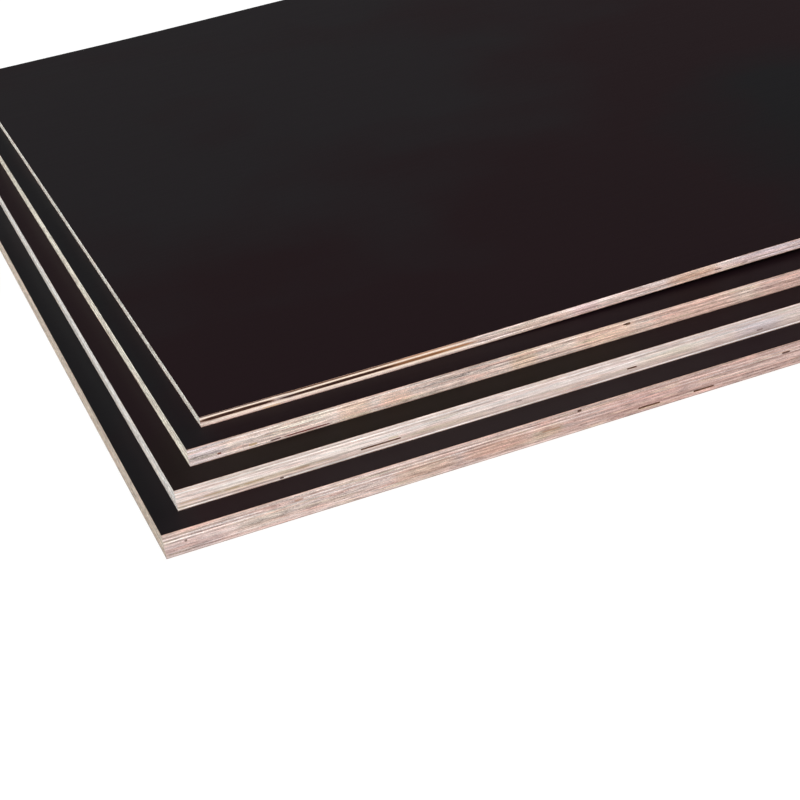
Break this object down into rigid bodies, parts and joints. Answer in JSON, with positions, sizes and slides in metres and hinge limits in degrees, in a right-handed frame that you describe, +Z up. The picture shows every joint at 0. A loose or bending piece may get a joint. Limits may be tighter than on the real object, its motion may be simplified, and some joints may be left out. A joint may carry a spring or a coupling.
{
  "type": "stack of film-faced plywood sheets",
  "caption": "Stack of dark film-faced birch plywood sheets of different thickness, stepped back from a corner so that each laminated edge shows.",
  "frame": {"origin": "centre of the bottom sheet's underside, on the floor", "axes": "+X along the sheets' length, +Y across them, away from the stepped front edge, +Z up"},
  "size_m": [2.563, 1.3425, 0.0672],
  "materials": {
    "phenolic_film": "smooth dark brown phenolic film, satin",
    "long_grain_birch": "birch veneer, sawn edge, grain along the sheet",
    "cross_grain_birch": "birch veneer, sawn edge, grain across the sheet"
  },
  "bodies": {
    "root": {"bottom_sheet_film_back": "phenolic_film", "bottom_sheet_veneer_01": "long_grain_birch", "bottom_sheet_veneer_02": "cross_grain_birch", "bottom_sheet_veneer_03": "long_grain_birch", "bottom_sheet_veneer_04": "cross_grain_birch", "bottom_sheet_veneer_05": "long_grain_birch", "bottom_sheet_veneer_06": "cross_grain_birch", "bottom_sheet_veneer_07": "long_grain_birch", "bottom_sheet_veneer_08": "cross_grain_birch", "bottom_sheet_veneer_09": "long_grain_birch", "bottom_sheet_veneer_10": "cross_grain_birch", "bottom_sheet_veneer_11": "long_grain_birch", "bottom_sheet_veneer_12": "cross_grain_birch", "bottom_sheet_veneer_13": "long_grain_birch", "bottom_sheet_veneer_14": "cross_grain_birch", "bottom_sheet_veneer_15": "long_grain_birch", "bottom_sheet_film_face": "phenolic_film", "second_sheet_film_back": "phenolic_film", "second_sheet_veneer_01": "long_grain_birch", "second_sheet_veneer_02": "cross_grain_birch", "second_sheet_veneer_03": "long_grain_birch", "second_sheet_veneer_04": "cross_grain_birch", "second_sheet_veneer_05": "long_grain_birch", "second_sheet_veneer_06": "cross_grain_birch", "second_sheet_veneer_07": "long_grain_birch", "second_sheet_veneer_08": "cross_grain_birch", "second_sheet_veneer_09": "long_grain_birch", "second_sheet_veneer_10": "cross_grain_birch", "second_sheet_veneer_11": "long_grain_birch", "second_sheet_veneer_12": "cross_grain_birch", "second_sheet_veneer_13": "long_grain_birch", "second_sheet_film_face": "phenolic_film", "third_sheet_film_back": "phenolic_film", "third_sheet_veneer_01": "long_grain_birch", "third_sheet_veneer_02": "cross_grain_birch", "third_sheet_veneer_03": "long_grain_birch", "third_sheet_veneer_04": "cross_grain_birch", "third_sheet_veneer_05": "long_grain_birch", "third_sheet_veneer_06": "cross_grain_birch", "third_sheet_veneer_07": "long_grain_birch", "third_sheet_veneer_08": "cross_grain_birch", "third_sheet_veneer_09": "long_grain_birch", "third_sheet_veneer_10": "cross_grain_birch", "third_sheet_veneer_11": "long_grain_birch", "third_sheet_film_face": "phenolic_film", "top_sheet_film_back": "phenolic_film", "top_sheet_veneer_01": "long_grain_birch", "top_sheet_veneer_02": "cross_grain_birch", "top_sheet_veneer_03": "long_grain_birch", "top_sheet_veneer_04": "cross_grain_birch", "top_sheet_veneer_05": "long_grain_birch", "top_sheet_veneer_06": "cross_grain_birch", "top_sheet_veneer_07": "long_grain_birch", "top_sheet_film_face": "phenolic_film"}
  },
  "joints": []
}
